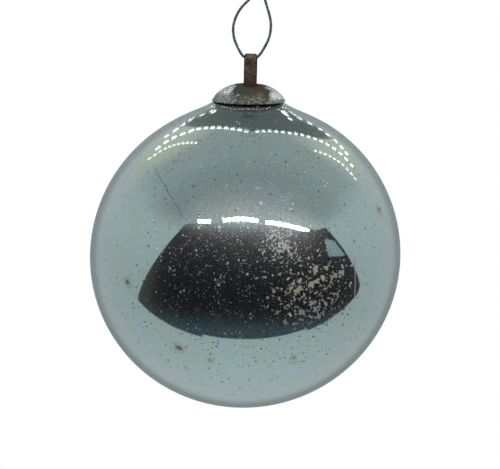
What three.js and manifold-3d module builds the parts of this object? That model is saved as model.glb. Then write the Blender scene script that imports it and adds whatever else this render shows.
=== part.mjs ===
// A hanging glass ball: a blown, silvered globe whose short neck is covered by a domed metal cap.
// A folded iron strap passes through the cap and grips the neck from inside with two sprung legs.
// A bent steel wire runs through the strap's eye as a loop and ends in the hook that hangs it up.
// Millimetres, +Z up. Heights below are measured from the middle of the ball; the whole ornament
// is then lowered so that the origin lies in the top of the hook, where the ornament hangs.
import * as THREE from 'three';
import { mergeVertices } from 'three/addons/utils/BufferGeometryUtils.js';
import Module from 'manifold-3d';

const wasm = await Module();
wasm.setup();

// Ball: a globe a little lower than it is wide, with a flared shoulder that ends in the neck.
const BALL_RADIUS = 50;
const BALL_TOP = 49.45;
const BALL_BOTTOM = 49.05;
const NECK_RADIUS = 9;
const SHOULDER_RISE = 3.1;
const SHOULDER_SPREAD = 2.9;
const GLASS_WALL = 0.8;
const FIT_GAP = 0.3;
const SILVER_THICKNESS = 0.3;

// Cap: a low dome of thin sheet with a turned bead at its rim and a slot in its crown.
const CAP_RADIUS = 11.7;
const CAP_RIM_HEIGHT = 49.9;
const CAP_RISE = 5.2;
const CAP_SHEET = 0.45;
const CAP_BEAD_RADIUS = 0.3;
const SLOT_GAP = 0.3;

// Strap: one strip folded double round an eye, its legs side by side and then sprung apart.
const STRAP_WIDTH = 4.2;
const STRAP_SHEET = 0.5;
const STRAP_OFFSET = 0.4;
const STRAP_TOP = 64.9;
const EYE_INNER_RADIUS = 1.3;
const EYE_FILLET = 1.2;
const LEG_GAP = 0.3;
const LEG_SPLAY_HEIGHT = 52.4;
const LEG_SPLAY_RADIUS = 6.2;
const LEG_SPLAY_TURN = 80;
const LEG_REACH = 4;
const FOOT_RADIUS = 1.2;
const FOOT_TURN = 70;

// Wire hanger: a round wire bent to a drop-shaped loop; its short end is wrapped round the shank,
// which leans back over the ball and ends as an open hook.
const WIRE_RADIUS = 0.425;
const WIRE_SAG_IN_EYE = 0.4;
const WIRE_CURVE_IN_EYE = 0.153;
const WRAP_BASE = new THREE.Vector3(3.5, 0, 84.6);
const WRAP_LEAN = -17;
const WRAP_RADIUS = 0.96;
const WRAP_PITCH = 1;
const WRAP_TURNS = 4.6;
const WRAP_START = 235;
const HOOK_INNER_RADIUS = 6.5;
const HOOK_START = 235;
const HOOK_END = -35;
const HOOK_STEP = 15;
const HANG_HEIGHT = 108.5;

const rad = THREE.MathUtils.degToRad;

// The ball's surface, moved in by inset, at an angle turned from the top of the vertical axis.
function globePoint(inset, turn) {
  const r = (BALL_RADIUS - inset) * Math.sin(turn);
  const shoulder = SHOULDER_RISE * Math.exp((NECK_RADIUS - inset - r) / SHOULDER_SPREAD);
  const isUpperHalf = turn < Math.PI / 2;
  const halfHeight = (isUpperHalf ? BALL_TOP : BALL_BOTTOM) - inset;
  return new THREE.Vector2(r, halfHeight * Math.cos(turn) + (isUpperHalf ? shoulder : 0));
}

// From the neck to the bottom of the ball; the rings lie closer together at the shoulder.
function globeProfile(inset, rings) {
  const crowding = 1.4;
  const neckTurn = Math.asin((NECK_RADIUS - inset) / (BALL_RADIUS - inset));
  const profile = [];
  for (let i = 0; i < rings; i += 1) {
    const share = (i / rings) ** crowding;
    profile.push(globePoint(inset, neckTurn + (Math.PI / 2 - neckTurn) * share));
  }
  for (let i = 0; i <= rings; i += 1) {
    profile.push(globePoint(inset, (Math.PI / 2) * (1 + i / rings)));
  }
  profile[2 * rings].x = 0;
  return profile;
}

// A lathed body stands along Y: this turns it up along Z.
function turned(profile, segments) {
  return new THREE.LatheGeometry(profile, segments).rotateX(Math.PI / 2);
}

// A closed shell between two insets, open at the neck; the neck's bore runs up to its ground rim.
function globeShell(outerInset, innerInset, rings, segments, hasBore) {
  const outer = globeProfile(outerInset, rings).reverse();
  const inner = globeProfile(innerInset, rings);
  const rim = outer[outer.length - 1];
  const bore = hasBore ? [new THREE.Vector2(inner[0].x, rim.y)] : [];
  return turned([...outer, ...bore, ...inner], segments);
}

// A domed sheet, outside and inside, joined round the bead of its rim.
function capDome() {
  const profile = [];
  const arcSteps = 9;
  const beadSteps = 4;
  const segments = 48;
  const beadStart = 60;
  const beadTurn = 210;
  const inside = CAP_RADIUS - CAP_SHEET;
  const beadHeight = CAP_RIM_HEIGHT + CAP_BEAD_RADIUS;
  for (let i = 0; i <= arcSteps; i += 1) {
    const a = (Math.PI / 2) * (1 - i / arcSteps);
    const r = i === 0 ? 0 : CAP_RADIUS * Math.cos(a);
    profile.push(new THREE.Vector2(r, beadHeight + CAP_RISE * Math.sin(a)));
  }
  for (let i = 0; i <= beadSteps; i += 1) {
    const a = rad(beadStart - (beadTurn * i) / beadSteps);
    profile.push(new THREE.Vector2(
      CAP_RADIUS + CAP_BEAD_RADIUS * Math.cos(a),
      beadHeight + CAP_BEAD_RADIUS * Math.sin(a),
    ));
  }
  for (let i = 1; i <= arcSteps; i += 1) {
    const a = (Math.PI / 2) * (i / arcSteps);
    const r = i === arcSteps ? 0 : inside * Math.cos(a);
    profile.push(new THREE.Vector2(r, beadHeight + (CAP_RISE - CAP_SHEET) * Math.sin(a)));
  }
  return turned(profile.reverse(), segments);
}

function toSolid(geometry) {
  const bare = geometry.clone();
  bare.deleteAttribute('normal');
  bare.deleteAttribute('uv');
  const merged = mergeVertices(bare, 1e-4);
  return new wasm.Manifold(new wasm.Mesh({
    numProp: 3,
    vertProperties: merged.attributes.position.array,
    triVerts: new Uint32Array(merged.index.array),
  }));
}

function toGeometry(solid) {
  const mesh = solid.getMesh();
  const geometry = new THREE.BufferGeometry();
  geometry.setAttribute('position', new THREE.BufferAttribute(mesh.vertProperties, 3));
  geometry.setIndex(new THREE.BufferAttribute(mesh.triVerts, 1));
  return geometry;
}

function capGeometry() {
  const slotDepth = 2 * STRAP_SHEET + LEG_GAP + 2 * SLOT_GAP;
  const slot = new THREE.BoxGeometry(STRAP_WIDTH + 2 * SLOT_GAP, slotDepth, 2 * CAP_RISE);
  slot.translate(STRAP_OFFSET, 0, CAP_RIM_HEIGHT + CAP_RISE);
  return toGeometry(toSolid(capDome()).subtract(toSolid(slot)));
}

// Half of the strip's middle line, seen from the side: top of the eye, pinch, leg and foot.
function strapHalfLine() {
  const eyeRadius = EYE_INNER_RADIUS + STRAP_SHEET / 2;
  const eyeHeight = STRAP_TOP - eyeRadius - STRAP_SHEET / 2;
  const legY = (LEG_GAP + STRAP_SHEET) / 2;
  const filletY = legY + EYE_FILLET;
  const filletDrop = Math.sqrt((eyeRadius + EYE_FILLET) ** 2 - filletY ** 2);
  const pinch = Math.atan2(filletDrop, filletY);
  const line = [];
  const arc = (y, z, radius, from, to, steps) => {
    for (let i = 0; i <= steps; i += 1) {
      const a = from + ((to - from) * i) / steps;
      line.push(new THREE.Vector2(y + radius * Math.cos(a), z + radius * Math.sin(a)));
    }
  };
  arc(0, eyeHeight, eyeRadius, Math.PI / 2, -pinch, 10);
  line.pop();
  arc(filletY, eyeHeight - filletDrop, EYE_FILLET, Math.PI - pinch, Math.PI, 4);
  const turn = rad(LEG_SPLAY_TURN);
  arc(legY + LEG_SPLAY_RADIUS, LEG_SPLAY_HEIGHT, LEG_SPLAY_RADIUS, Math.PI, Math.PI + turn, 8);
  const knee = line[line.length - 1];
  const ankle = new THREE.Vector2(Math.sin(turn), -Math.cos(turn)).multiplyScalar(LEG_REACH).add(knee);
  const footY = ankle.x + FOOT_RADIUS * Math.cos(turn);
  const footZ = ankle.y + FOOT_RADIUS * Math.sin(turn);
  arc(footY, footZ, FOOT_RADIUS, turn - Math.PI, turn - Math.PI + rad(FOOT_TURN), 5);
  return line;
}

// The strip's outline: its middle line moved half a sheet's thickness to each side.
function strapOutline() {
  const half = strapHalfLine();
  const left = half.slice(1).map((p) => new THREE.Vector2(-p.x, p.y)).reverse();
  const line = [...left, ...half];
  const side = (distance) => line.map((p, i) => {
    const before = line[Math.max(i - 1, 0)];
    const after = line[Math.min(i + 1, line.length - 1)];
    const along = after.clone().sub(before).normalize();
    return new THREE.Vector2(p.x - along.y * distance, p.y + along.x * distance);
  });
  return [...side(STRAP_SHEET / 2), ...side(-STRAP_SHEET / 2).reverse()];
}

function strapGeometry() {
  const shape = new THREE.Shape(strapOutline());
  const strip = new THREE.ExtrudeGeometry(shape, { depth: STRAP_WIDTH, bevelEnabled: false });
  // The outline is drawn in (y, z): turn it so that the strip's width runs along X.
  strip.applyMatrix4(new THREE.Matrix4().makeBasis(
    new THREE.Vector3(0, 1, 0),
    new THREE.Vector3(0, 0, 1),
    new THREE.Vector3(1, 0, 0),
  ));
  strip.translate(STRAP_OFFSET - STRAP_WIDTH / 2, 0, 0);
  return strip;
}

// A point beside the leaning shank: how far up it, how far out and at which angle round it.
function besideShank(up, out, angle) {
  const offset = new THREE.Vector3(out * Math.cos(angle), out * Math.sin(angle), up);
  return offset.applyAxisAngle(new THREE.Vector3(0, 1, 0), rad(WRAP_LEAN)).add(WRAP_BASE);
}

// The short end's turns round the shank, from the lowest upwards.
function wrapTurns() {
  const steps = 44;
  const turns = [];
  for (let i = 0; i <= steps; i += 1) {
    const done = (WRAP_TURNS * i) / steps;
    turns.push(besideShank(WRAP_PITCH * done, WRAP_RADIUS, rad(WRAP_START) + 2 * Math.PI * done));
  }
  return turns;
}

// The wire's middle line: short end, left side of the loop, through the eye, right side, hook.
function wireLine() {
  const eyeHeight = STRAP_TOP - EYE_INNER_RADIUS - STRAP_SHEET;
  const leftSide = [
    [0.9, -0.75, 83.1], [-0.8, -0.35, 81.35], [-3.1, -0.12, 78.8], [-4.75, 0, 75.6], [-5.32, 0, 72.6],
    [-4.9, 0, 69.4], [-3.88, 0, 67], [-2.5, 0, 64.6],
  ];
  const inEye = [-1.7, -0.9, 0, 0.9, 1.7].map((x) => [
    STRAP_OFFSET + x, 0, eyeHeight - WIRE_SAG_IN_EYE + WIRE_CURVE_IN_EYE * x ** 2,
  ]);
  const rightSide = [
    [3.2, 0, 64.6], [4.75, 0, 67.1], [5.95, 0, 69.8], [6.45, 0, 72.4], [6.4, 0, 75],
    [5.86, 0, 77.3], [5.05, 0, 79.8], [4.3, 0, 82.2],
  ];
  const shank = [0, 1.6, 3.2, 4.8].map((up) => besideShank(up, 0, 0));
  const radius = HOOK_INNER_RADIUS + WIRE_RADIUS;
  const hook = [];
  for (let a = HOOK_START; a >= HOOK_END; a -= HOOK_STEP) {
    hook.push([radius * Math.cos(rad(a)), 0, HANG_HEIGHT - HOOK_INNER_RADIUS + radius * Math.sin(rad(a))]);
  }
  const vectors = (points) => points.map((p) => new THREE.Vector3(...p));
  return [
    ...wrapTurns().reverse(), ...vectors(leftSide), ...vectors(inEye), ...vectors(rightSide), ...shank,
    ...vectors(hook),
  ];
}

function wireGeometry() {
  const section = new THREE.Shape();
  section.absarc(0, 0, WIRE_RADIUS, 0, 2 * Math.PI);
  const path = new THREE.CatmullRomCurve3(wireLine(), false, 'centripetal');
  path.arcLengthDivisions = 1200;
  return new THREE.ExtrudeGeometry(section, {
    steps: 230,
    curveSegments: 4,
    bevelEnabled: false,
    extrudePath: path,
  });
}

function piece(name, geometry, colour, roughness, metalness) {
  const material = new THREE.MeshStandardMaterial({ color: colour, roughness, metalness });
  const mesh = new THREE.Mesh(geometry, material);
  mesh.name = name;
  return mesh;
}

const silverInset = GLASS_WALL + FIT_GAP;
const silverInner = silverInset + SILVER_THICKNESS;

const ornament = new THREE.Group();
ornament.add(
  piece('wire_hanger', wireGeometry(), 0x3f474a, 0.4, 0.9),
  piece('hanger_strap', strapGeometry(), 0x54443a, 0.85, 0.4),
  piece('cap', capGeometry(), 0x8f908a, 0.4, 0.9),
  piece('glass_ball', globeShell(0, GLASS_WALL, 10, 48, true), 0xb4c4c2, 0.05, 0),
  piece('silver_lining', globeShell(silverInset, silverInner, 7, 32, false), 0x9aa9a9, 0.1, 1),
);
ornament.position.z = -HANG_HEIGHT;

const part = new THREE.Group();
part.add(ornament);

export default part;
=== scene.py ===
import math

import bmesh
import bpy
from mathutils import Matrix, Vector, noise


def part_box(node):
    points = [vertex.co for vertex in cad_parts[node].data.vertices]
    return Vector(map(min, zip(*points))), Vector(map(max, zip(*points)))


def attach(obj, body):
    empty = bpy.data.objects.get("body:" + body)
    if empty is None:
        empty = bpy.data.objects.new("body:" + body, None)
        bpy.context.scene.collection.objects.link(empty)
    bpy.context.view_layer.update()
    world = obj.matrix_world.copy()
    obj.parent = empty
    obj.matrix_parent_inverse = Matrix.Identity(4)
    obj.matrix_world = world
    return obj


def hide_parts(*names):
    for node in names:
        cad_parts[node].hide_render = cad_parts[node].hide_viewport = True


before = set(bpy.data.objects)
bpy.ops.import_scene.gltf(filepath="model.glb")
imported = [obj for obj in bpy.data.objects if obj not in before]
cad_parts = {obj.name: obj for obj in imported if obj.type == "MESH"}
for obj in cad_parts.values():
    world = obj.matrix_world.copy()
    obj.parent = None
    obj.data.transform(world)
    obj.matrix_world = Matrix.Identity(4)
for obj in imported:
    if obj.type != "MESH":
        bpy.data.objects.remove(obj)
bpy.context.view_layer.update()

# ---- Camera -------------------------------------------------------------------------------------
# A long lens looks a little down on the ball from its front, held very slightly off level.
# The ball hangs just below and left of the view's middle, and the wire runs out at the top.
MM = 0.001
BALL_BOTTOM = 49.05
CAMERA_DISTANCE = 0.45
CAMERA_RISE = math.radians(12)
CAMERA_ROLL = math.radians(1.25)
AIM_RIGHT = 1.556 * MM
AIM_UP = 6.645 * MM
LENS = 100
SENSOR_WIDTH = 36
CLIP_START = 0.01

ball_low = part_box("glass_ball")[0]
ball_middle = Vector((0, 0, ball_low.z + BALL_BOTTOM * MM))


def place_camera():
    level = Vector((1, 0, 0))
    upright = Vector((0, math.sin(CAMERA_RISE), math.cos(CAMERA_RISE)))
    rightward = level * math.cos(CAMERA_ROLL) + upright * math.sin(CAMERA_ROLL)
    upward = upright * math.cos(CAMERA_ROLL) - level * math.sin(CAMERA_ROLL)
    stand = Vector((0, -math.cos(CAMERA_RISE), math.sin(CAMERA_RISE))) * CAMERA_DISTANCE
    ahead = (rightward * AIM_RIGHT + upward * AIM_UP - stand).normalized()
    right = (rightward - ahead * rightward.dot(ahead)).normalized()
    camera = bpy.data.objects.new("camera", bpy.data.cameras.new("camera"))
    camera.data.lens = LENS
    camera.data.sensor_width = SENSOR_WIDTH
    camera.data.clip_start = CLIP_START
    turn = Matrix((right, right.cross(ahead), -ahead)).transposed().to_4x4()
    camera.matrix_world = Matrix.Translation(ball_middle + stand) @ turn
    bpy.context.collection.objects.link(camera)
    bpy.context.scene.camera = camera


place_camera()
bpy.context.scene.view_settings.view_transform = "Standard"

# ---- Wire hanger --------------------------------------------------------------------------------
# One length of dark drawn steel wire, bent by hand: a drop-shaped loop through the strap's eye,
# its short end wrapped round the shank, and an open hook above that carries the whole ornament.
WIRE_RADIUS = 0.425
WIRE_STEP = 0.35
WIRE_SIDES = 14
WIRE_WEAR = 0.03
BLUNT_END = 0.7
WRAP_BASE = Vector((3.5, 0, 84.6))
WRAP_LEAN = math.radians(-17)
WRAP_RADIUS = 0.96
WRAP_TURNS = 4.6
WRAP_START = math.radians(235)
WRAP_POINTS = 44
EYE_HEIGHT = 63.1
EYE_CURVE = 0.153
STRAP_OFFSET = 0.4
HOOK_RADIUS = 6.925
HOOK_HEIGHT = 102
HOOK_FROM = 235
HOOK_TO = -35
HOOK_STEP = 15

LOOP_LEFT = [
    (0.9, -0.75, 83.1), (-0.8, -0.35, 81.35), (-3.1, -0.12, 78.8), (-4.75, 0, 75.6),
    (-5.32, 0, 72.6), (-4.9, 0, 69.4), (-3.88, 0, 67), (-2.5, 0, 64.6),
]
LOOP_RIGHT = [
    (3.2, 0, 64.6), (4.75, 0, 67.1), (5.95, 0, 69.8), (6.45, 0, 72.4), (6.4, 0, 75),
    (5.86, 0, 77.3), (5.05, 0, 79.8), (4.3, 0, 82.2),
]


def skin(name, rings, closed=False):
    """A closed mesh through rings of points; a single point in place of a ring closes that end."""
    mesh = bmesh.new()
    rows = []
    for ring in rings:
        points = [ring] if isinstance(ring, Vector) else ring
        rows.append([mesh.verts.new(point * MM) for point in points])
    if closed:
        rows.append(rows[0])
    for lower, upper in zip(rows, rows[1:]):
        count = max(len(lower), len(upper))
        for i in range(count):
            j = (i + 1) % count
            corners = [lower[i % len(lower)], lower[j % len(lower)]]
            corners += [upper[j % len(upper)], upper[i % len(upper)]]
            mesh.faces.new(list(dict.fromkeys(corners)))
    bmesh.ops.recalc_face_normals(mesh, faces=mesh.faces)
    data = bpy.data.meshes.new(name)
    mesh.to_mesh(data)
    mesh.free()
    data.shade_smooth()
    piece = bpy.data.objects.new(name, data)
    piece.location = ball_middle
    bpy.context.collection.objects.link(piece)
    return piece


def smooth_path(points, step):
    """Points a step apart, or a little less, on a smooth curve through the given ones."""
    points = [2 * points[0] - points[1], *points, 2 * points[-1] - points[-2]]
    path = []
    for before, start, end, after in zip(points, points[1:], points[2:], points[3:]):
        lead, span, trail = [
            math.sqrt((b - a).length) for a, b in ((before, start), (start, end), (end, after))
        ]
        leave = (start - before) / lead - (end - before) / (lead + span) + (end - start) / span
        arrive = (end - start) / span - (after - start) / (span + trail) + (after - end) / trail
        leave, arrive = leave * span, arrive * span
        count = math.ceil((end - start).length / step)
        for i in range(count):
            t = i / count
            path.append(
                start
                + leave * t
                + (3 * (end - start) - 2 * leave - arrive) * t**2
                + (leave + arrive - 2 * (end - start)) * t**3
            )
    return [*path, points[-2]]


def beside_shank(up, out, angle):
    """A point beside the leaning shank: how far up it, how far out and at which angle round it."""
    offset = Vector((out * math.cos(angle), out * math.sin(angle), up))
    return Matrix.Rotation(WRAP_LEAN, 3, "Y") @ offset + WRAP_BASE


def wire_path():
    turns = [WRAP_TURNS * i / WRAP_POINTS for i in range(WRAP_POINTS, -1, -1)]
    short_end = [beside_shank(turn, WRAP_RADIUS, WRAP_START + math.tau * turn) for turn in turns]
    in_eye = [
        Vector((STRAP_OFFSET + x, 0, EYE_HEIGHT + EYE_CURVE * x**2))
        for x in (-1.7, -0.9, 0, 0.9, 1.7)
    ]
    shank = [beside_shank(up, 0, 0) for up in (0, 1.6, 3.2, 4.8)]
    hook = [
        Vector((HOOK_RADIUS * math.cos(a), 0, HOOK_HEIGHT + HOOK_RADIUS * math.sin(a)))
        for a in map(math.radians, range(HOOK_FROM, HOOK_TO - 1, -HOOK_STEP))
    ]
    left = [Vector(point) for point in LOOP_LEFT]
    right = [Vector(point) for point in LOOP_RIGHT]
    return smooth_path([*short_end, *left, *in_eye, *right, *shank, *hook], WIRE_STEP)


def tube_rings(path, radius, sides):
    """Rings round a path, each turned as little as it can from the one before, with blunt ends."""
    along = [(b - a).normalized() for a, b in zip(path, [*path[1:], 2 * path[-1] - path[-2]])]
    across = along[0].orthogonal().normalized()
    rings = []
    for i, (point, ahead) in enumerate(zip(path, along)):
        across = (across - ahead * across.dot(ahead)).normalized()
        aside = ahead.cross(across)
        worn = 1 - WIRE_WEAR * abs(noise.noise(point * 0.6))
        blunt = BLUNT_END if i in (0, len(path) - 1) else 1
        rings.append([
            point + (across * math.cos(a) + aside * math.sin(a)) * radius * worn * blunt
            for a in (math.tau * side / sides for side in range(sides))
        ])
    return [path[0], *rings, path[-1]]


class Signal:
    """One output of a node. Arithmetic and comparisons on signals add the Math nodes they need."""

    def __init__(self, finish, socket):
        self.finish = finish
        self.socket = socket

    def math(self, operation, first, second):
        return self.finish.node("Math", {"operation": operation}, {0: first, 1: second})

    def __add__(self, other):
        return self.math("ADD", self, other)

    def __radd__(self, other):
        return self.math("ADD", other, self)

    def __sub__(self, other):
        return self.math("SUBTRACT", self, other)

    def __rsub__(self, other):
        return self.math("SUBTRACT", other, self)

    def __mul__(self, other):
        return self.math("MULTIPLY", self, other)

    def __rmul__(self, other):
        return self.math("MULTIPLY", other, self)

    def __truediv__(self, other):
        return self.math("DIVIDE", self, other)

    def __lt__(self, other):
        return self.math("LESS_THAN", self, other)

    def __or__(self, other):
        """Either of two masks."""
        return self.math("MAXIMUM", self, other)

    def out(self, name):
        """Another output of the same node."""
        return Signal(self.finish, self.socket.node.outputs[name])

    def rise(self, low, high):
        """0 below low, 1 above high and a smooth step between; with low above high it falls."""
        settings = {"interpolation_type": "SMOOTHSTEP"}
        if low > high:
            return 1 - self.rise(high, low)
        return self.finish.node("MapRange", settings, {"Value": self, "From Min": low, "From Max": high})

    def hide(self, under, over):
        """The colour under where this mask is 0, and the colour over where it is 1."""
        values = {0: self, 6: under, 7: over}
        return self.finish.node("Mix", {"data_type": "RGBA"}, values, out=2)


class Finish:
    """A material: its shader's sockets are set by name, and every other node comes from node()."""

    def __init__(self, name):
        self.material = bpy.data.materials.new(name)
        self.material.use_nodes = True
        self.tree = self.material.node_tree
        self.shader = self.tree.nodes["Principled BSDF"]

    def node(self, kind, settings, values, out=0):
        made = self.tree.nodes.new("ShaderNode" + kind)
        for name, value in settings.items():
            if name == "stops":
                ramp = made.color_ramp.elements
                while len(ramp) < len(value):
                    ramp.new(0.5)
                for stop, (position, colour) in zip(ramp, value):
                    stop.position = position
                    stop.color = colour
            else:
                setattr(made, name, value)
        for name, value in values.items():
            self.feed(made.inputs[name], value)
        return Signal(self, made.outputs[out])

    def feed(self, socket, value):
        if isinstance(value, Signal):
            self.tree.links.new(value.socket, socket)
        else:
            socket.default_value = value

    def surface(self, **values):
        for name, value in values.items():
            self.feed(self.shader.inputs[name.replace("_", " ")], value)

    def place(self, shift=(0, 0, 0)):
        """Where a point lies on the piece, in millimetres from the middle of the ball."""
        object_place = self.node("TexCoord", {}, {}, out="Object")
        values = {0: object_place, 1: (1000, 1000, 1000), 2: shift}
        return self.node("VectorMath", {"operation": "MULTIPLY_ADD"}, values)

    def cloud(self, place, grain, detail=3, roughness=0.55):
        """Soft noise whose patches are about a grain across, in millimetres."""
        values = {"Vector": place, "Scale": 1 / grain, "Detail": detail, "Roughness": roughness}
        return self.node("TexNoise", {}, values)

    def axis(self, place, name):
        return self.node("SeparateXYZ", {}, {0: place}, out=name)

    def absolute(self, value):
        return self.node("Math", {"operation": "ABSOLUTE"}, {0: value})

    def between(self, operation, first, second):
        """A number that Vector Math works out from two vectors, such as their distance."""
        return self.node("VectorMath", {"operation": operation}, {0: first, 1: second}, out="Value")

    def bump(self, height, depth):
        """A Normal from a height of 0 to 1 that stands for a depth in millimetres."""
        return self.node("Bump", {}, {"Height": height, "Distance": depth * MM, "Strength": 1.0})

    def put_on(self, piece):
        piece.data.materials.clear()
        piece.data.materials.append(self.material)


def rgb(red, green, blue):
    return (red, green, blue, 1)


def wire_finish():
    finish = Finish("oxidised_wire")
    place = finish.place()
    mottle = finish.cloud(place, 0.5, detail=5)
    patches = finish.cloud(finish.place((40, 0, 0)), 2.5)
    rubbed = mottle.rise(0.47, 0.64)
    dull = patches.rise(0.42, 0.62)
    rust = finish.cloud(finish.place((0, 30, 0)), 1.6, detail=5).rise(0.6, 0.74)
    steel = rubbed.hide(rgb(0.075, 0.092, 0.1), rgb(0.55, 0.6, 0.62))
    oxide = dull.hide(steel, rgb(0.085, 0.094, 0.098))
    finish.surface(
        Base_Color=rust.hide(oxide, rgb(0.11, 0.062, 0.038)),
        Metallic=0.92 - 0.5 * dull,
        Roughness=0.5 - 0.18 * rubbed + 0.12 * dull,
        Normal=finish.bump(mottle, 0.05),
    )
    return finish


wire = skin("wire_hanger_bent", tube_rings(wire_path(), WIRE_RADIUS, WIRE_SIDES))
wire_finish().put_on(wire)
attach(wire, "hanger")
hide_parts("wire_hanger")

# ---- Hanger strap -------------------------------------------------------------------------------
# A strip of thin iron folded double round an eye, worn at its corners and brown with rust. Its legs
# go down through the cap's slot and spring apart inside the neck, which holds cap and ball on it.
STRAP_HALF_WIDTH = 2.1
STRAP_WORN_HALF_WIDTH = 1.8
STRAP_WORN_FROM = 63.4
STRAP_TOP = 64.9
STRAP_HALF_SHEET = 0.25
STRAP_PATH_STEP = 0.25
STRAP_FACE_STEPS = 12
STRAP_ROUNDING = 0.8 * STRAP_HALF_SHEET
EYE_RADIUS = 1.55
LEG_Y = 0.4
EYE_FILLET = 3
SPLAY_HEIGHT = 52.4
SPLAY_RADIUS = 6.2
SPLAY_TURN = math.radians(80)
LEG_REACH = 4
FOOT_RADIUS = 1.2
FOOT_TURN = math.radians(70)


def arc(y, z, radius, start, end, step):
    """Points (y, z) along an arc, about a step apart."""
    count = math.ceil(radius * abs(end - start) / step)
    angles = [start + (end - start) * i / count for i in range(count + 1)]
    return [Vector((0, y + radius * math.cos(a), z + radius * math.sin(a))) for a in angles]


def straight(start, end, step):
    """Points between two others, both left out, about a step apart."""
    count = math.ceil((end - start).length / step)
    return [start.lerp(end, i / count) for i in range(1, count)]


def strap_line():
    """The strip's middle line from one foot, up and round the eye, and down to the other."""
    step = STRAP_PATH_STEP
    fillet_y = LEG_Y + EYE_FILLET
    fillet_drop = math.sqrt((EYE_RADIUS + EYE_FILLET) ** 2 - fillet_y**2)
    pinch = math.atan2(fillet_drop, fillet_y)
    eye = arc(0, EYE_HEIGHT, EYE_RADIUS, math.pi / 2, -pinch, step)
    fillet = arc(fillet_y, EYE_HEIGHT - fillet_drop, EYE_FILLET, math.pi - pinch, math.pi, step)
    splay = arc(LEG_Y + SPLAY_RADIUS, SPLAY_HEIGHT, SPLAY_RADIUS, math.pi, math.pi + SPLAY_TURN, step)
    reach = Vector((0, math.sin(SPLAY_TURN), -math.cos(SPLAY_TURN))) * LEG_REACH
    ankle = splay[-1] + reach
    centre = ankle + Vector((0, math.cos(SPLAY_TURN), math.sin(SPLAY_TURN))) * FOOT_RADIUS
    heel = SPLAY_TURN - math.pi
    foot = arc(centre.y, centre.z, FOOT_RADIUS, heel, heel + FOOT_TURN, step)
    half = [*eye, *fillet[1:], *straight(fillet[-1], splay[0], step), *splay]
    half += [*straight(splay[-1], ankle, step), *foot]
    return [Vector((0, -p.y, p.z)) for p in reversed(half[1:])] + half


def strap_section(point, outward, ease):
    """A ring round the strip: flat faces with rounded, rust-eaten edges."""
    share = min(max((point.z - STRAP_WORN_FROM) / (STRAP_TOP - STRAP_WORN_FROM), 0), 1)
    half_width = STRAP_HALF_WIDTH + (STRAP_WORN_HALF_WIDTH - STRAP_HALF_WIDTH) * share**1.5
    half_width *= ease
    ring = []
    for side in (1, -1):
        for i in range(STRAP_FACE_STEPS + 1):
            across = side * (1 - 2 * i / STRAP_FACE_STEPS)
            spot = Vector((across * half_width, point.y * 4, point.z + side * 40))
            eaten = 0.05 * abs(noise.noise(spot * 1.7)) + 0.03 * abs(noise.noise(spot * 4.1))
            ragged = 1 - 0.05 * abs(noise.noise(Vector((side * 9, 0, point.z * 1.1))))
            edge = max(0, abs(across) * half_width - (half_width - STRAP_ROUNDING)) / STRAP_ROUNDING
            sheet = (STRAP_HALF_SHEET - eaten) * math.sqrt(max(0.04, 1 - edge**2 * 0.95)) * ease
            sideways = Vector((STRAP_OFFSET + across * half_width * ragged, 0, 0))
            ring.append(point + outward * side * sheet + sideways)
    return ring


def strap_rings():
    line = strap_line()
    rings = []
    for i, point in enumerate(line):
        along = (line[min(i + 1, len(line) - 1)] - line[max(i - 1, 0)]).normalized()
        outward = Vector((0, -along.z, along.y))
        from_end = min(i, len(line) - 1 - i)
        ease = math.sqrt(min(1, (from_end + 0.6) / 3))
        rings.append(strap_section(point, outward, ease))
    shift = Vector((STRAP_OFFSET, 0, 0))
    return [line[0] + shift, *rings, line[-1] + shift]


def strap_finish():
    finish = Finish("rusted_iron")
    place = finish.place()
    grain = finish.cloud(place, 0.35, detail=6, roughness=0.65)
    blotches = finish.cloud(finish.place((0, 0, 60)), 1.1, detail=4)
    height = finish.axis(place, "Z")
    width = finish.absolute(finish.axis(place, "X") - STRAP_OFFSET)
    brown = grain.rise(0.4, 0.62).hide(rgb(0.022, 0.012, 0.008), rgb(0.2, 0.115, 0.068))

    # Redder and darker towards the bottom, ashen round the eye, and dark at the edges and where it
    # enters the cap.
    red = blotches.rise(0.46, 0.6) * height.rise(61, 56.5) * grain.rise(0.4, 0.55)
    redder = red.hide(brown, rgb(0.13, 0.044, 0.02))
    ashen = blotches.rise(0.5, 0.36) * height.rise(56, 63)
    greyed = ashen.hide(redder, rgb(0.15, 0.14, 0.12))
    edge = (width + 0.5 * grain).rise(1.8, 2.1)
    darker_low = height.rise(61.5, 56) * 0.45
    base = darker_low.hide(edge.hide(greyed, rgb(0.02, 0.02, 0.018)), rgb(0.04, 0.018, 0.01))
    bottom = height.rise(57.2, 54.6)
    finish.surface(
        Base_Color=bottom.hide(base, rgb(0.03, 0.015, 0.009)),
        Metallic=0.05 + 0.3 * edge,
        Roughness=0.9 - 0.25 * edge,
        Normal=finish.bump(grain, 0.4),
    )
    return finish


strap = skin("hanger_strap_rusted", strap_rings())
strap_finish().put_on(strap)
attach(strap, "strap")
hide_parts("hanger_strap")

# ---- Cap ----------------------------------------------------------------------------------------
# A low dome spun from thin plated sheet, with a rolled bead at its rim and a punched slot for the
# strap. It only rests on the shoulder of the glass; it is dented, pitted and stained by the strap.
CAP_RADIUS = 11.35
CAP_RIM_HEIGHT = 50.16
CAP_RISE = 5.7
CAP_CONE = 1.25
CAP_SHEET = 0.45
CAP_BEAD = 0.3
CAP_TILT = math.radians(0.8)
CROWN_DENT = 1.35
CROWN_DENT_AT = (0.6, -1.5)
SLOT_HALF_LENGTH = 2.4
SLOT_HALF_DEPTH = 0.95
RUST_SPOT = (3.4, -8.6, 52.4)
CAP_SIDES = 120
CAP_STEPS = 26


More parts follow.
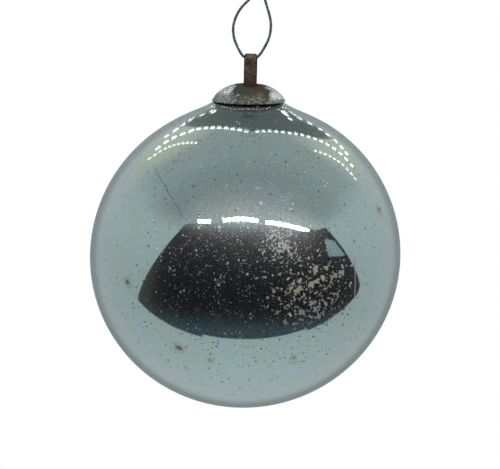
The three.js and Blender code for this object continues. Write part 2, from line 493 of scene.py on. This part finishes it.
def cap_dent(point):
    """How far hand and strap have pressed the sheet down at a point, in millimetres."""
    x, y = point.x - CROWN_DENT_AT[0], point.y - CROWN_DENT_AT[1]
    crown = CROWN_DENT * math.exp(-(x**2) / 9 - y**2 / 14)
    waves = 0.28 * max(0, noise.noise(Vector((point.x * 0.22, point.y * 0.22, 3.1))))
    ripples = 0.1 * abs(noise.noise(Vector((point.x * 0.7, point.y * 0.7, 8.4))))
    stiff_rim = max(0, 1 - (point.length / CAP_RADIUS) ** 6)
    return (crown + waves + ripples) * stiff_rim


def slot_reach(angle):
    """From the cap's middle to the slot's edge, in a direction round the cap."""
    x, y = math.cos(angle), math.sin(angle)
    end = SLOT_HALF_LENGTH + math.copysign(STRAP_OFFSET, x)
    return min(end / max(abs(x), 1e-6), SLOT_HALF_DEPTH / max(abs(y), 1e-6))


def cap_rings():
    """From the slot's edge over the outside, round the bead and back up the inside."""
    def ring_at(share, radius, rise):
        ring = []
        for side in range(CAP_SIDES):
            angle = math.tau * side / CAP_SIDES
            from_slot = math.acos(slot_reach(angle) / radius)
            a = from_slot * (1 - share)
            r = radius * math.cos(a)
            point = Vector((r * math.cos(angle), r * math.sin(angle), 0))
            point.z = CAP_RIM_HEIGHT + rise * math.sin(a) ** CAP_CONE - cap_dent(point)
            ring.append(point)
        return ring

    def bead_at(turn):
        ring = []
        for side in range(CAP_SIDES):
            angle = math.tau * side / CAP_SIDES
            r = CAP_RADIUS + CAP_BEAD * math.cos(turn)
            point = Vector((r * math.cos(angle), r * math.sin(angle), 0))
            point.z = CAP_RIM_HEIGHT + CAP_BEAD * math.sin(turn) - cap_dent(point)
            ring.append(point)
        return ring

    steps = [i / CAP_STEPS for i in range(CAP_STEPS)]
    outside = [ring_at(share**0.8, CAP_RADIUS, CAP_RISE) for share in steps]
    bead = [bead_at(math.radians(60 - 30 * i)) for i in range(8)]
    inside = [ring_at(share**0.8, CAP_RADIUS - CAP_SHEET, CAP_RISE - CAP_SHEET) for share in steps]
    rings = [*outside, *bead, *reversed(inside)]
    turn = Matrix.Rotation(-CAP_TILT, 3, "Y")
    pivot = Vector((0, 0, CAP_RIM_HEIGHT))
    return [[turn @ (point - pivot) + pivot for point in ring] for ring in rings]


def cap_finish():
    finish = Finish("dulled_cap_plate")
    place = finish.place()
    fine = finish.cloud(place, 0.5, detail=6, roughness=0.7)
    blotches = finish.cloud(finish.place((0, 25, 0)), 2.4, detail=5, roughness=0.6)
    height = finish.axis(place, "Z")
    x = finish.axis(place, "X")
    y = finish.axis(place, "Y")

    # Painted sheen: the plating is painted bright on the upper slopes and the right shoulder, where the
    # highlights fall, and painted darker grey below them as shade.
    painted_sheen_mask = height.rise(51.9, 53.4) | (x.rise(5.5, 7.5) * height.rise(50.6, 51.8))
    shade_painted_plate = fine.rise(0.36, 0.56).hide(rgb(0.14, 0.18, 0.16), rgb(0.34, 0.4, 0.365))
    sheen_painted_plate = fine.rise(0.36, 0.5).hide(rgb(0.62, 0.66, 0.63), rgb(0.97, 1.0, 0.98))
    plate = painted_sheen_mask.hide(shade_painted_plate, sheen_painted_plate)

    # Dark tarnish in blotches, the front made darker still, with pale flecks of corrosion low down.
    across_front = finish.absolute(x - 0.8).rise(7.5, 3.5)
    darker_front = 0.38 * y.rise(-2.5, -6.5) * across_front
    tarnish_and_dark_front = (blotches + 0.4 * fine + darker_front).rise(0.72, 0.92)
    soot = fine.rise(0.42, 0.6).hide(rgb(0.02, 0.026, 0.017), rgb(0.062, 0.074, 0.055))
    tarnished = tarnish_and_dark_front.hide(plate, soot)
    pale = finish.cloud(finish.place((7, 0, 0)), 0.55, detail=4)
    flecks = pale.rise(0.5, 0.58) * height.rise(53.0, 51.4)
    pitted = (0.48 * flecks).hide(tarnished, rgb(0.52, 0.5, 0.42))

    # Rust washed off the strap, in a ring round the slot and in one spot by the rim.
    beside = finish.node("CombineXYZ", {}, {0: (x - 0.6) * 0.75, 1: y * 0.52, 2: 0.0})
    off_strap = finish.node("VectorMath", {"operation": "LENGTH"}, {0: beside}, out="Value")
    rust_ring = (off_strap - 3 * (fine - 0.5)).rise(4.5, 3.6)
    rust = fine.rise(0.4, 0.62).hide(rgb(0.022, 0.013, 0.008), rgb(0.11, 0.06, 0.034))
    ringed = rust_ring.hide(pitted, rust)
    off_spot = finish.between("DISTANCE", place, RUST_SPOT)
    rust_spot = (off_spot + 6 * (fine - 0.5)).rise(1.5, 0.5)
    base = (0.85 * rust_spot).hide(ringed, rgb(0.24, 0.1, 0.036))
    # Painted shadow: the underside of the rim's bead is painted near black for the shade in the gap over
    # the glass.
    painted_rim_shadow = height.rise(49.99, 49.88)
    dull = tarnish_and_dark_front | rust_ring | rust_spot | flecks
    finish.surface(
        Base_Color=painted_rim_shadow.hide(base, rgb(0.03, 0.03, 0.026)),
        Metallic=0.96 - 0.76 * dull,
        Roughness=0.16 + 0.1 * fine + 0.45 * dull,
        Normal=finish.bump(fine - 0.5 * tarnish_and_dark_front - 0.6 * flecks, 0.14),
    )
    return finish


cap = skin("cap_spun", cap_rings(), closed=True)
cap_finish().put_on(cap)
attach(cap, "cap")
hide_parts("cap")

# ---- Glass ball ---------------------------------------------------------------------------------
# A free-blown globe of clear glass with a grey-green cast, not quite round, drawn up to a short
# neck under the cap. Handling has left a fine film of dust and scuffs that spreads the highlights.
BALL_RADIUS = 50
BALL_TOP = 49.45
NECK_RADIUS = 9
NECK_BORE = 8.2
SHOULDER_RISE = 3.1
SHOULDER_SPREAD = 2.9
GLASS_WALL = 0.8
BALL_SIDES = 160
BALL_STEPS = 56
LEAN = 0.007
LEAN_FROM = 25
EASE = 0.9995


def globe_point(inset, turn):
    """The globe's profile, moved in by inset, at an angle turned down from the top."""
    r = (BALL_RADIUS - inset) * math.sin(turn)
    if turn > math.pi / 2:
        return r, (BALL_BOTTOM - inset) * math.cos(turn)
    shoulder = SHOULDER_RISE * math.exp((NECK_RADIUS - inset - r) / SHOULDER_SPREAD)
    return r, (BALL_TOP - inset) * math.cos(turn) + shoulder


def globe_profile(inset):
    """From just above the bottom of the ball up to the neck, closer together at the shoulder."""
    neck = math.asin((NECK_RADIUS - inset) / (BALL_RADIUS - inset))
    shares = [(i + 1) / BALL_STEPS for i in range(BALL_STEPS)]
    lower = [math.pi - math.pi / 2 * share for share in shares]
    upper = [neck + (math.pi / 2 - neck) * (1 - share) ** 1.4 for share in shares]
    return [globe_point(inset, turn) for turn in (*lower, *upper)]


def leaned(r, z, angle):
    """A point of the globe, which is blown slightly out of round below its true neck."""
    lean = LEAN * min(1, (r / LEAN_FROM) ** 2) if z > 0 else LEAN
    x = r * math.cos(angle)
    return Vector((x + lean * z, r * math.sin(angle), z + lean * x)) * EASE


def globe_shell(name, outer_inset, inner_inset, rim=()):
    """A closed shell between two insets, from the outer pole up, over its rim and down inside."""
    outer = globe_profile(outer_inset)
    inner = globe_profile(inner_inset)
    profile = [*outer, *[(r, outer[-1][1]) for r in rim], *reversed(inner)]
    angles = [math.tau * side / BALL_SIDES for side in range(BALL_SIDES)]
    rings = [[leaned(r, z, angle) for angle in angles] for r, z in profile]
    poles = [leaned(0, inset - BALL_BOTTOM, 0) for inset in (outer_inset, inner_inset)]
    return skin(name, [poles[0], *rings, poles[1]])


def glass_finish():
    finish = Finish("blown_glass")
    streaks = finish.cloud(finish.place(), 14, detail=2)
    tint = streaks.rise(0.35, 0.65).hide(rgb(0.955, 0.985, 0.98), rgb(0.965, 0.985, 0.985))
    finish.surface(
        Base_Color=tint,
        Roughness=0.0,
        IOR=1.5,
        Transmission_Weight=1.0,
        Coat_Weight=1.0,
        Coat_Roughness=0.34,
    )
    return finish


glass = globe_shell("glass_ball_blown", 0, GLASS_WALL, rim=[NECK_BORE])
glass_finish().put_on(glass)
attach(glass, "ball")
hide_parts("glass_ball")

# ---- Silver lining ------------------------------------------------------------------------------
# Silver poured inside the globe and dried to a mirror on its inner wall. Age has freckled it with
# specks and pits, flaked it into crusts at one side, and left brown blooms and a few scratches.
LINING_INSET = 0.88
LINING_FILM = 0.2
MIRROR_RADIUS = 49.1
SILVER = rgb(0.525, 0.66, 0.665)
BARE_PATCH = rgb(1.0, 0.99, 0.94)
CRUST = rgb(0.97, 0.9, 0.56)
BLOOM = rgb(0.36, 0.38, 0.24)
BLOOM_SPOTS = [
    (-45, -2, 2.8), (-25, -24, 3), (63, 23, 3.6), (-13, -28, 1.9), (-38, 44, 1.8), (20, -27, 1.9),
    (58, -12, 1.8), (-70, 8, 1.6), (150, 30, 3), (-120, -20, 2.5), (100, 5, 2), (175, -35, 3),
]


def on_ball(azimuth, elevation, radius=MIRROR_RADIUS):
    """A place on the mirror: degrees round from the front to the right, and degrees up."""
    a, e = math.radians(azimuth), math.radians(elevation)
    return Vector((math.sin(a) * math.cos(e), -math.cos(a) * math.cos(e), math.sin(e))) * radius


def near(finish, place, spot, reach, fade):
    """1 round a spot on the mirror, as far as a share of its reach, and falling to 0 at its reach."""
    return finish.between("DISTANCE", place, spot).rise(reach, reach * fade)


def random_cells(finish, cell, shift):
    """For cells of one size in millimetres: how far off each one's middle is, and its own chance."""
    values = {"Vector": finish.place(shift), "Scale": 1 / cell, "Randomness": 1.0}
    cells = finish.node("TexVoronoi", {}, values, out="Distance")
    return cells, finish.node("SeparateColor", {}, {0: cells.out("Color")}, out=0)


def specks(finish, cell, size, share, shift, edge=0.7):
    """Round specks up to a size, in a share of random cells, which may vary from place to place."""
    cells, chance = random_cells(finish, cell, shift)
    width = (0.3 + 0.7 * chance.out(1)) * (size / cell)
    return (cells / width).rise(1, edge) * (chance < share)


def crusts(finish, cell, share, shift):
    """Whole angular cells, as flakes break away; the share of cells may vary from place to place."""
    chance = random_cells(finish, cell, shift)[1]
    return chance < share


def scratch(finish, place, start, end, width):
    """A fine scratch from one place on the mirror to another, the shortest way."""
    level = start.cross(end).normalized()
    middle = (start + end) / 2
    off = finish.absolute(finish.between("DOT_PRODUCT", place, level))
    return off.rise(width, width * 0.5) * near(finish, place, middle, (end - start).length / 2, 0.8)


def lining_finish():
    finish = Finish("aged_silver")
    place = finish.place()
    centre = near(finish, place, on_ball(4, 14), 46, 0.3)
    flaking_front = near(finish, place, on_ball(24.5, -2), 14.5, 0.25)
    flaking_back = near(finish, place, on_ball(-155, -12), 16, 0.2)
    flaking = flaking_front | flaking_back
    shed = near(finish, place, on_ball(12, 15), 7.5, 0.2)
    low = finish.axis(place, "Z").rise(4, -16)

    # Where the silver has gone, from dust specks to whole flakes: bare, pale and not a mirror.
    dust = specks(finish, 0.7, 0.21, 0.12 + 0.88 * centre, (0, 0, 0))
    grit = specks(finish, 1.3, 0.38, 0.1 + 0.6 * centre, (13, 0, 0))
    coarse = specks(finish, 2.8, 0.66, 0.08 + 0.44 * centre, (0, 17, 0))
    freckles = dust | grit | coarse

    small_flakes = crusts(finish, 0.6, flaking * 0.2, (5, 0, 0))
    large_flakes = crusts(finish, 1.2, flaking * 0.13, (0, 5, 0))
    flaked = small_flakes | large_flakes
    chips = crusts(finish, 0.5, shed * 0.42, (0, 9, 0))
    deep_scratch = scratch(finish, place, on_ball(-50, 41), on_ball(-23.5, 23.5), 0.1)
    bright_scratch = scratch(finish, place, on_ball(41, 18), on_ball(42, -6), 0.2)

    # Where it has corroded: dark pits, and ragged brown blooms with dark hearts.
    pits = specks(finish, 1.6, 0.4, 0.4 + 0.5 * low, (0, 0, 23))
    waver = finish.cloud(finish.place((0, 70, 0)), 1.2, detail=4).out("Color")
    values = {0: waver, 1: (3, 3, 3), 2: finish.place((-1.5, -1.5, -1.5))}
    ragged = finish.node("VectorMath", {"operation": "MULTIPLY_ADD"}, values)
    blooms = specks(finish, 13, 2.4, 0.6, (31, 0, 0), 0) * 0.7
    hearts = pits
    for azimuth, elevation, reach in BLOOM_SPOTS:
        blooms = blooms | near(finish, ragged, on_ball(azimuth, elevation), reach, 0.2)
        hearts = hearts | near(finish, ragged, on_ball(azimuth, elevation), reach * 0.36, 0.3)

    worn = freckles | flaked | chips | bright_scratch
    tint = finish.cloud(finish.place((0, 0, 50)), 9, detail=4).rise(0.42, 0.72)
    silver = tint.hide(SILVER, rgb(0.55, 0.645, 0.59))
    bloomed = (blooms * 0.75).hide(silver, BLOOM)
    spoiled = worn.hide(bloomed, BARE_PATCH)
    stain = finish.cloud(finish.place((0, 0, 90)), 3, detail=2).rise(0.44, 0.56)
    crusted = flaked.hide(spoiled, stain.hide(rgb(0.95, 0.97, 0.88), CRUST))
    dark = (hearts | deep_scratch) * (1 - worn)
    finish.surface(
        Base_Color=dark.hide(crusted, rgb(0.02, 0.022, 0.02)),
        Metallic=1 - 0.95 * (worn | dark),
        Roughness=0.015 + 0.6 * (worn | dark) + 0.16 * blooms,
    )
    return finish


lining = globe_shell("silver_lining_aged", LINING_INSET, LINING_INSET + LINING_FILM)
lining_finish().put_on(lining)
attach(lining, "ball")
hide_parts("silver_lining")

# ---- Stage: light tent and floor ----------------------------------------------------------------
# Not part of the ornament: a pale tent of even light round it, with short rows of lamps and an open
# front, which the mirror needs to have something to show, and a plain pale floor far below. Its
# sizes are metres, and its directions are degrees round to the right from the front, and up.
TENT_RADIUS = 0.6
TENT_BRIGHTNESS = 1.25
LAMP_RADIUS = 0.575
LAMP_PATH_STEP = 0.001
OPENING_RADIUS = 0.585
WINDOW_RADIUS = 0.4
WINDOW_CORNERS = [(58, 17), (65, 15), (73, 4), (59, 6)]
OPENING_LEFT = -84
OPENING_RIGHT = 90
OPENING_COLUMNS = 180
FLOOR_DROP = 1.5
FLOOR_HALF_SIZE = 30
SQUARE = [(-1, -1), (1, -1), (1, 1), (-1, 1)]


def in_tent(azimuth, elevation, radius=1.0):
    """A place on the tent, or with no radius a direction toward it."""
    return on_ball(azimuth, elevation, radius)


def around(finish, toward, direction, outer, inner):
    """1 within the inner angle of a direction, falling to 0 at the outer angle, in degrees."""
    closeness = finish.between("DOT_PRODUCT", toward, direction)
    return closeness.rise(math.cos(math.radians(outer)), math.cos(math.radians(inner)))


def grey(level):
    """The tent cloth's faintly cool white, dimmed."""
    return rgb(level * 0.9, level, level * 1.01)


def cool(level):
    """The same cloth at the back, where less of the lamps' light reaches it."""
    return rgb(level * 0.8, level, level * 1.04)


def lit(name, strength):
    """A material that only gives light; its colour is fed to the Emission Color."""
    finish = Finish(name)
    finish.surface(Base_Color=rgb(0, 0, 0), Roughness=1.0, Specular_IOR_Level=0.0)
    finish.surface(Emission_Strength=strength)
    return finish


def stage_piece(name, data, finish):
    """A piece of the stage, hidden from the camera itself."""
    piece = bpy.data.objects.new(name, data)
    piece.location = ball_middle
    bpy.context.collection.objects.link(piece)
    finish.put_on(piece)
    piece.visible_camera = False
    return piece


def stage_mesh(name, points, faces, finish):
    data = bpy.data.meshes.new(name)
    data.from_pydata(points, [], faces)
    return stage_piece(name, data, finish)


def tent():
    """The tent's walls: brighter at the sides and back, dimmer overhead and behind the cap."""
    mesh = bmesh.new()
    bmesh.ops.create_icosphere(mesh, subdivisions=4, radius=TENT_RADIUS)
    data = bpy.data.meshes.new("tent")
    mesh.to_mesh(data)
    mesh.free()
    finish = lit("tent_cloth", TENT_BRIGHTNESS)
    where = finish.node("TexCoord", {}, {}, out="Object")
    toward = finish.node("VectorMath", {"operation": "NORMALIZE"}, {0: where})
    up = finish.axis(toward, "Z")
    back = finish.axis(toward, "Y")
    height = up * 0.5 + 0.5
    sides = finish.node("ValToRGB", {"stops": [
        (0.0, grey(0.5)), (0.1, grey(0.47)), (0.25, grey(0.43)), (0.44, grey(0.43)),
        (0.6, grey(0.47)), (0.7, grey(0.46)), (0.8, grey(0.36)), (1.0, grey(0.34)),
    ]}, {0: height})
    rear = finish.node("ValToRGB", {"stops": [
        (0.0, grey(0.47)), (0.1, cool(0.23)), (0.2, cool(0.2)), (0.32, cool(0.21)),
        (0.45, cool(0.225)), (0.6, cool(0.26)), (0.72, cool(0.29)), (0.82, grey(0.31)),
    ]}, {0: height})
    walls = ((back - 0.2 * up).rise(0.66, 0.88) * up.rise(0.85, 0.6)).hide(sides, rear)
    front_top = back.rise(0.1, -0.4) * up.rise(0.35, 0.6)
    walls = front_top.hide(walls, grey(0.262))
    either_side = finish.node("VectorMath", {"operation": "ABSOLUTE"}, {0: toward})
    glowing = around(finish, either_side, in_tent(140, 38), 24, 6) * back.rise(0, 0.2) * up.rise(0, 0.2)
    walls = glowing.hide(walls, rgb(0.49, 0.5, 0.42))
    behind_cap = around(finish, toward, in_tent(176, 41), 25, 23) * up.rise(0.45, 0.49)
    finish.surface(Emission_Color=behind_cap.hide(walls, rgb(0.072, 0.093, 0.088)))
    stage_piece("tent", data, finish)


def opening():
    """The tent's open front: dark, flat-topped, with slanting sides that meet a curved sill."""
    points = []
    for i in range(OPENING_COLUMNS + 1):
        azimuth = OPENING_LEFT + (OPENING_RIGHT - OPENING_LEFT) * i / OPENING_COLUMNS
        from_left, from_right = azimuth - OPENING_LEFT, OPENING_RIGHT - azimuth
        head = max(34 - 0.0028 * (azimuth + 5) ** 2, 23.8)
        left_side = -22 + 1.05 * from_left + 0.011 * from_left**2
        right_side = -14 + 1.2 * from_right + 0.008 * from_right**2
        sill = -50 + 0.003 * azimuth**2 + 1.5e-7 * azimuth**4
        if not -36 < azimuth < 55:
            sill -= 2.2
        top = min(head, left_side, right_side)
        points.append(in_tent(azimuth, max(top, sill), OPENING_RADIUS))
        points.append(in_tent(azimuth, min(top, sill), OPENING_RADIUS))
    faces = [(2 * i, 2 * i + 1, 2 * i + 3, 2 * i + 2) for i in range(OPENING_COLUMNS)]
    finish = lit("dim_room", 1.0)
    where = finish.node("TexCoord", {}, {}, out="Object")
    low = finish.axis(where, "Z").rise(-0.2, -0.4)
    far_left = finish.axis(where, "X").rise(-0.45, -0.56)
    dim = far_left.hide(rgb(0.004, 0.003, 0.005), rgb(0.05, 0.046, 0.038))
    bluish = (low * 0.8).hide(dim, rgb(0.045, 0.078, 0.1))
    hem = finish.axis(where, "Z").rise(0.16, 0.36)
    finish.surface(Emission_Color=(hem * hem).hide(bluish, rgb(0.23, 0.28, 0.29)))
    stage_mesh("tent_opening", points, faces, finish)


def window():
    """A pane of cooler light in the far wall, seen through the tent's open front."""
    finish = lit("far_window_light", 1.0)
    finish.surface(Emission_Color=rgb(0.33, 0.39, 0.43))
    corners = [in_tent(*direction, WINDOW_RADIUS) for direction in WINDOW_CORNERS]
    stage_mesh("far_window", corners, [(0, 1, 2, 3)], finish)


def lamp_row(name, count, lit_share, half_height, strength, through):
    """Small lamps on a smooth curve through a few directions, lit for a share of its length."""
    path = smooth_path([in_tent(*direction, LAMP_RADIUS) for direction in through], LAMP_PATH_STEP)
    length = sum((b - a).length for a, b in zip(path, path[1:]))
    half_length = lit_share * length / count / 2
    points = []
    faces = []
    for i in range(count):
        at = int((i + 0.5) / count * (len(path) - 1))
        ahead = (path[at + 1] - path[at]).normalized()
        aside = path[at].cross(ahead).normalized()
        first = len(points)
        for x, y in SQUARE:
            points.append(path[at] + ahead * x * half_length + aside * y * half_height)
        faces.append(tuple(range(first, first + 4)))
    finish = lit(name + "_light", strength)
    finish.surface(Emission_Color=rgb(1, 1, 1))
    stage_mesh(name, points, faces, finish)


def floor():
    """A floor that only the camera sees, so that it neither lights nor shows in the ornament."""
    finish = lit("pale_floor", 1.0)
    finish.surface(Emission_Color=rgb(1, 1, 1))
    corners = [Vector((x * FLOOR_HALF_SIZE, y * FLOOR_HALF_SIZE, -FLOOR_DROP)) for x, y in SQUARE]
    piece = stage_mesh("floor", corners, [(0, 1, 2, 3)], finish)
    piece.visible_camera = True
    piece.visible_glossy = False
    piece.visible_transmission = False
    piece.visible_diffuse = False


REAR_LEFT = [(-148, 29), (-154, 30.5), (-161, 29.5), (-166, 31), (-165, 37)]
REAR_RIGHT = [(140, 27), (148, 27.5), (156, 29), (164, 29.5), (167, 32), (162, 39)]
CEILING_LEFT = [(-138, 31), (-143, 36), (-147, 43), (-152, 53), (-161, 62), (179, 69)]
CEILING_RIGHT = [(131, 27), (139, 36), (143, 46), (149, 55), (160, 63), (174, 68)]

tent()
opening()
window()
lamp_row("rear_lamps_left", 7, 0.5, 0.005, 7, REAR_LEFT)
lamp_row("rear_lamps_right", 10, 0.5, 0.005, 7, REAR_RIGHT)
lamp_row("ceiling_lamps_left", 13, 0.6, 0.006, 6, CEILING_LEFT)
lamp_row("ceiling_lamps_right", 16, 0.52, 0.006, 6, CEILING_RIGHT)
lamp_row("left_side_lamps", 11, 0.55, 0.004, 5, [(-132, 30), (-134, 40), (-130, 58)])
lamp_row("right_side_lamps", 10, 0.55, 0.004, 5, [(121, 27), (125, 36), (125, 52)])
lamp_row("front_lamps_left", 4, 0.7, 0.013, 65, [(-40, 32), (-29, 33.5)])
lamp_row("front_lamps_middle", 8, 0.7, 0.013, 65, [(-20, 35.5), (-5, 37.5), (10, 36)])
lamp_row("front_lamps_right", 11, 0.7, 0.013, 65, [(15, 35), (32, 31), (49, 24)])
floor()

world = bpy.data.worlds.new("pale_room")
world.use_nodes = True
room = world.node_tree.nodes["Background"]
room.inputs["Color"].default_value = rgb(1, 1, 1)
room.inputs["Strength"].default_value = 1.0
bpy.context.scene.world = world
